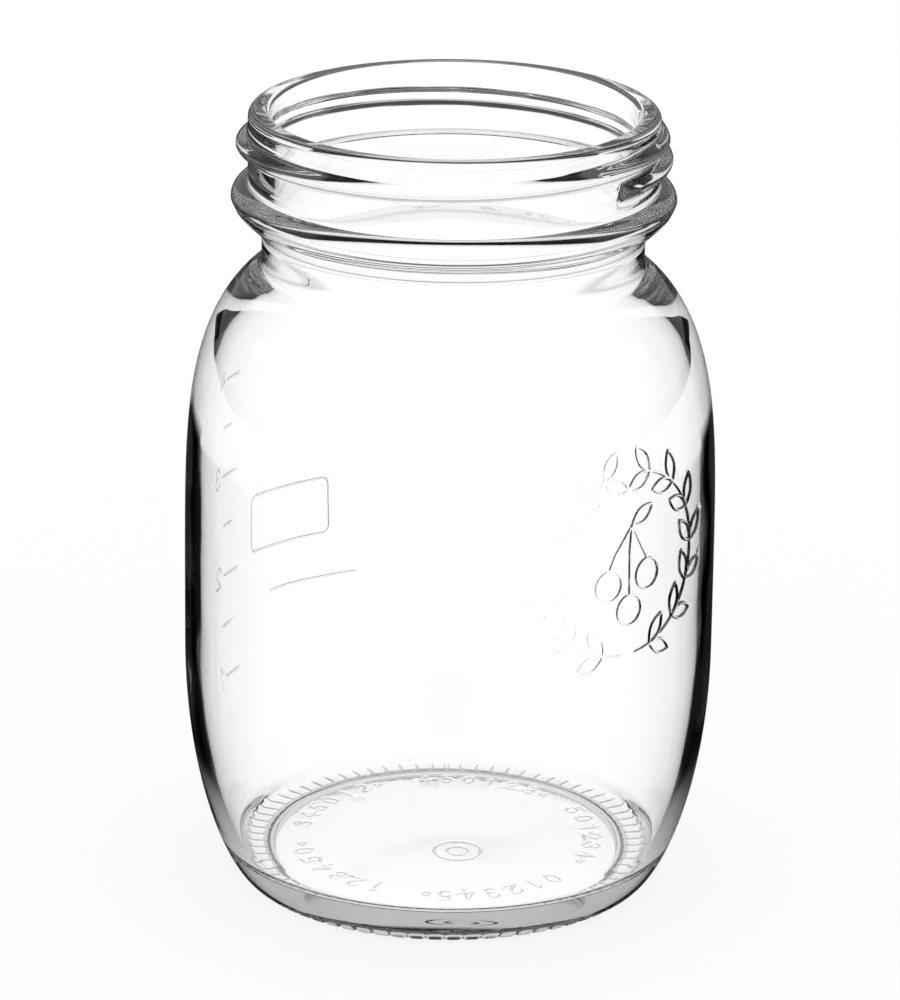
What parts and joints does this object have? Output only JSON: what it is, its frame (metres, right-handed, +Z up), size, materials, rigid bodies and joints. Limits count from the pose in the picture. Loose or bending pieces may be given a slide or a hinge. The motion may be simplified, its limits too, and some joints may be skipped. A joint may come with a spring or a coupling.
{
  "type": "preserving jar",
  "caption": "Open glass preserving jar with a barrel-shaped body, a wide mouth and a screw finish for a lid.",
  "frame": {"origin": "centre of the resting ring, on the surface that the jar stands on", "axes": "+Z up the jar's axis to its mouth; -Y faces the viewer of the picture and +X is to the viewer's right; the thread's lower end is 39 degrees from +X towards -Y"},
  "size_m": [0.089, 0.089, 0.1328],
  "materials": {
    "clear_glass": "clear, polished soda-lime glass"
  },
  "bodies": {
    "root": {"glass_jar": "clear_glass"}
  },
  "joints": []
}
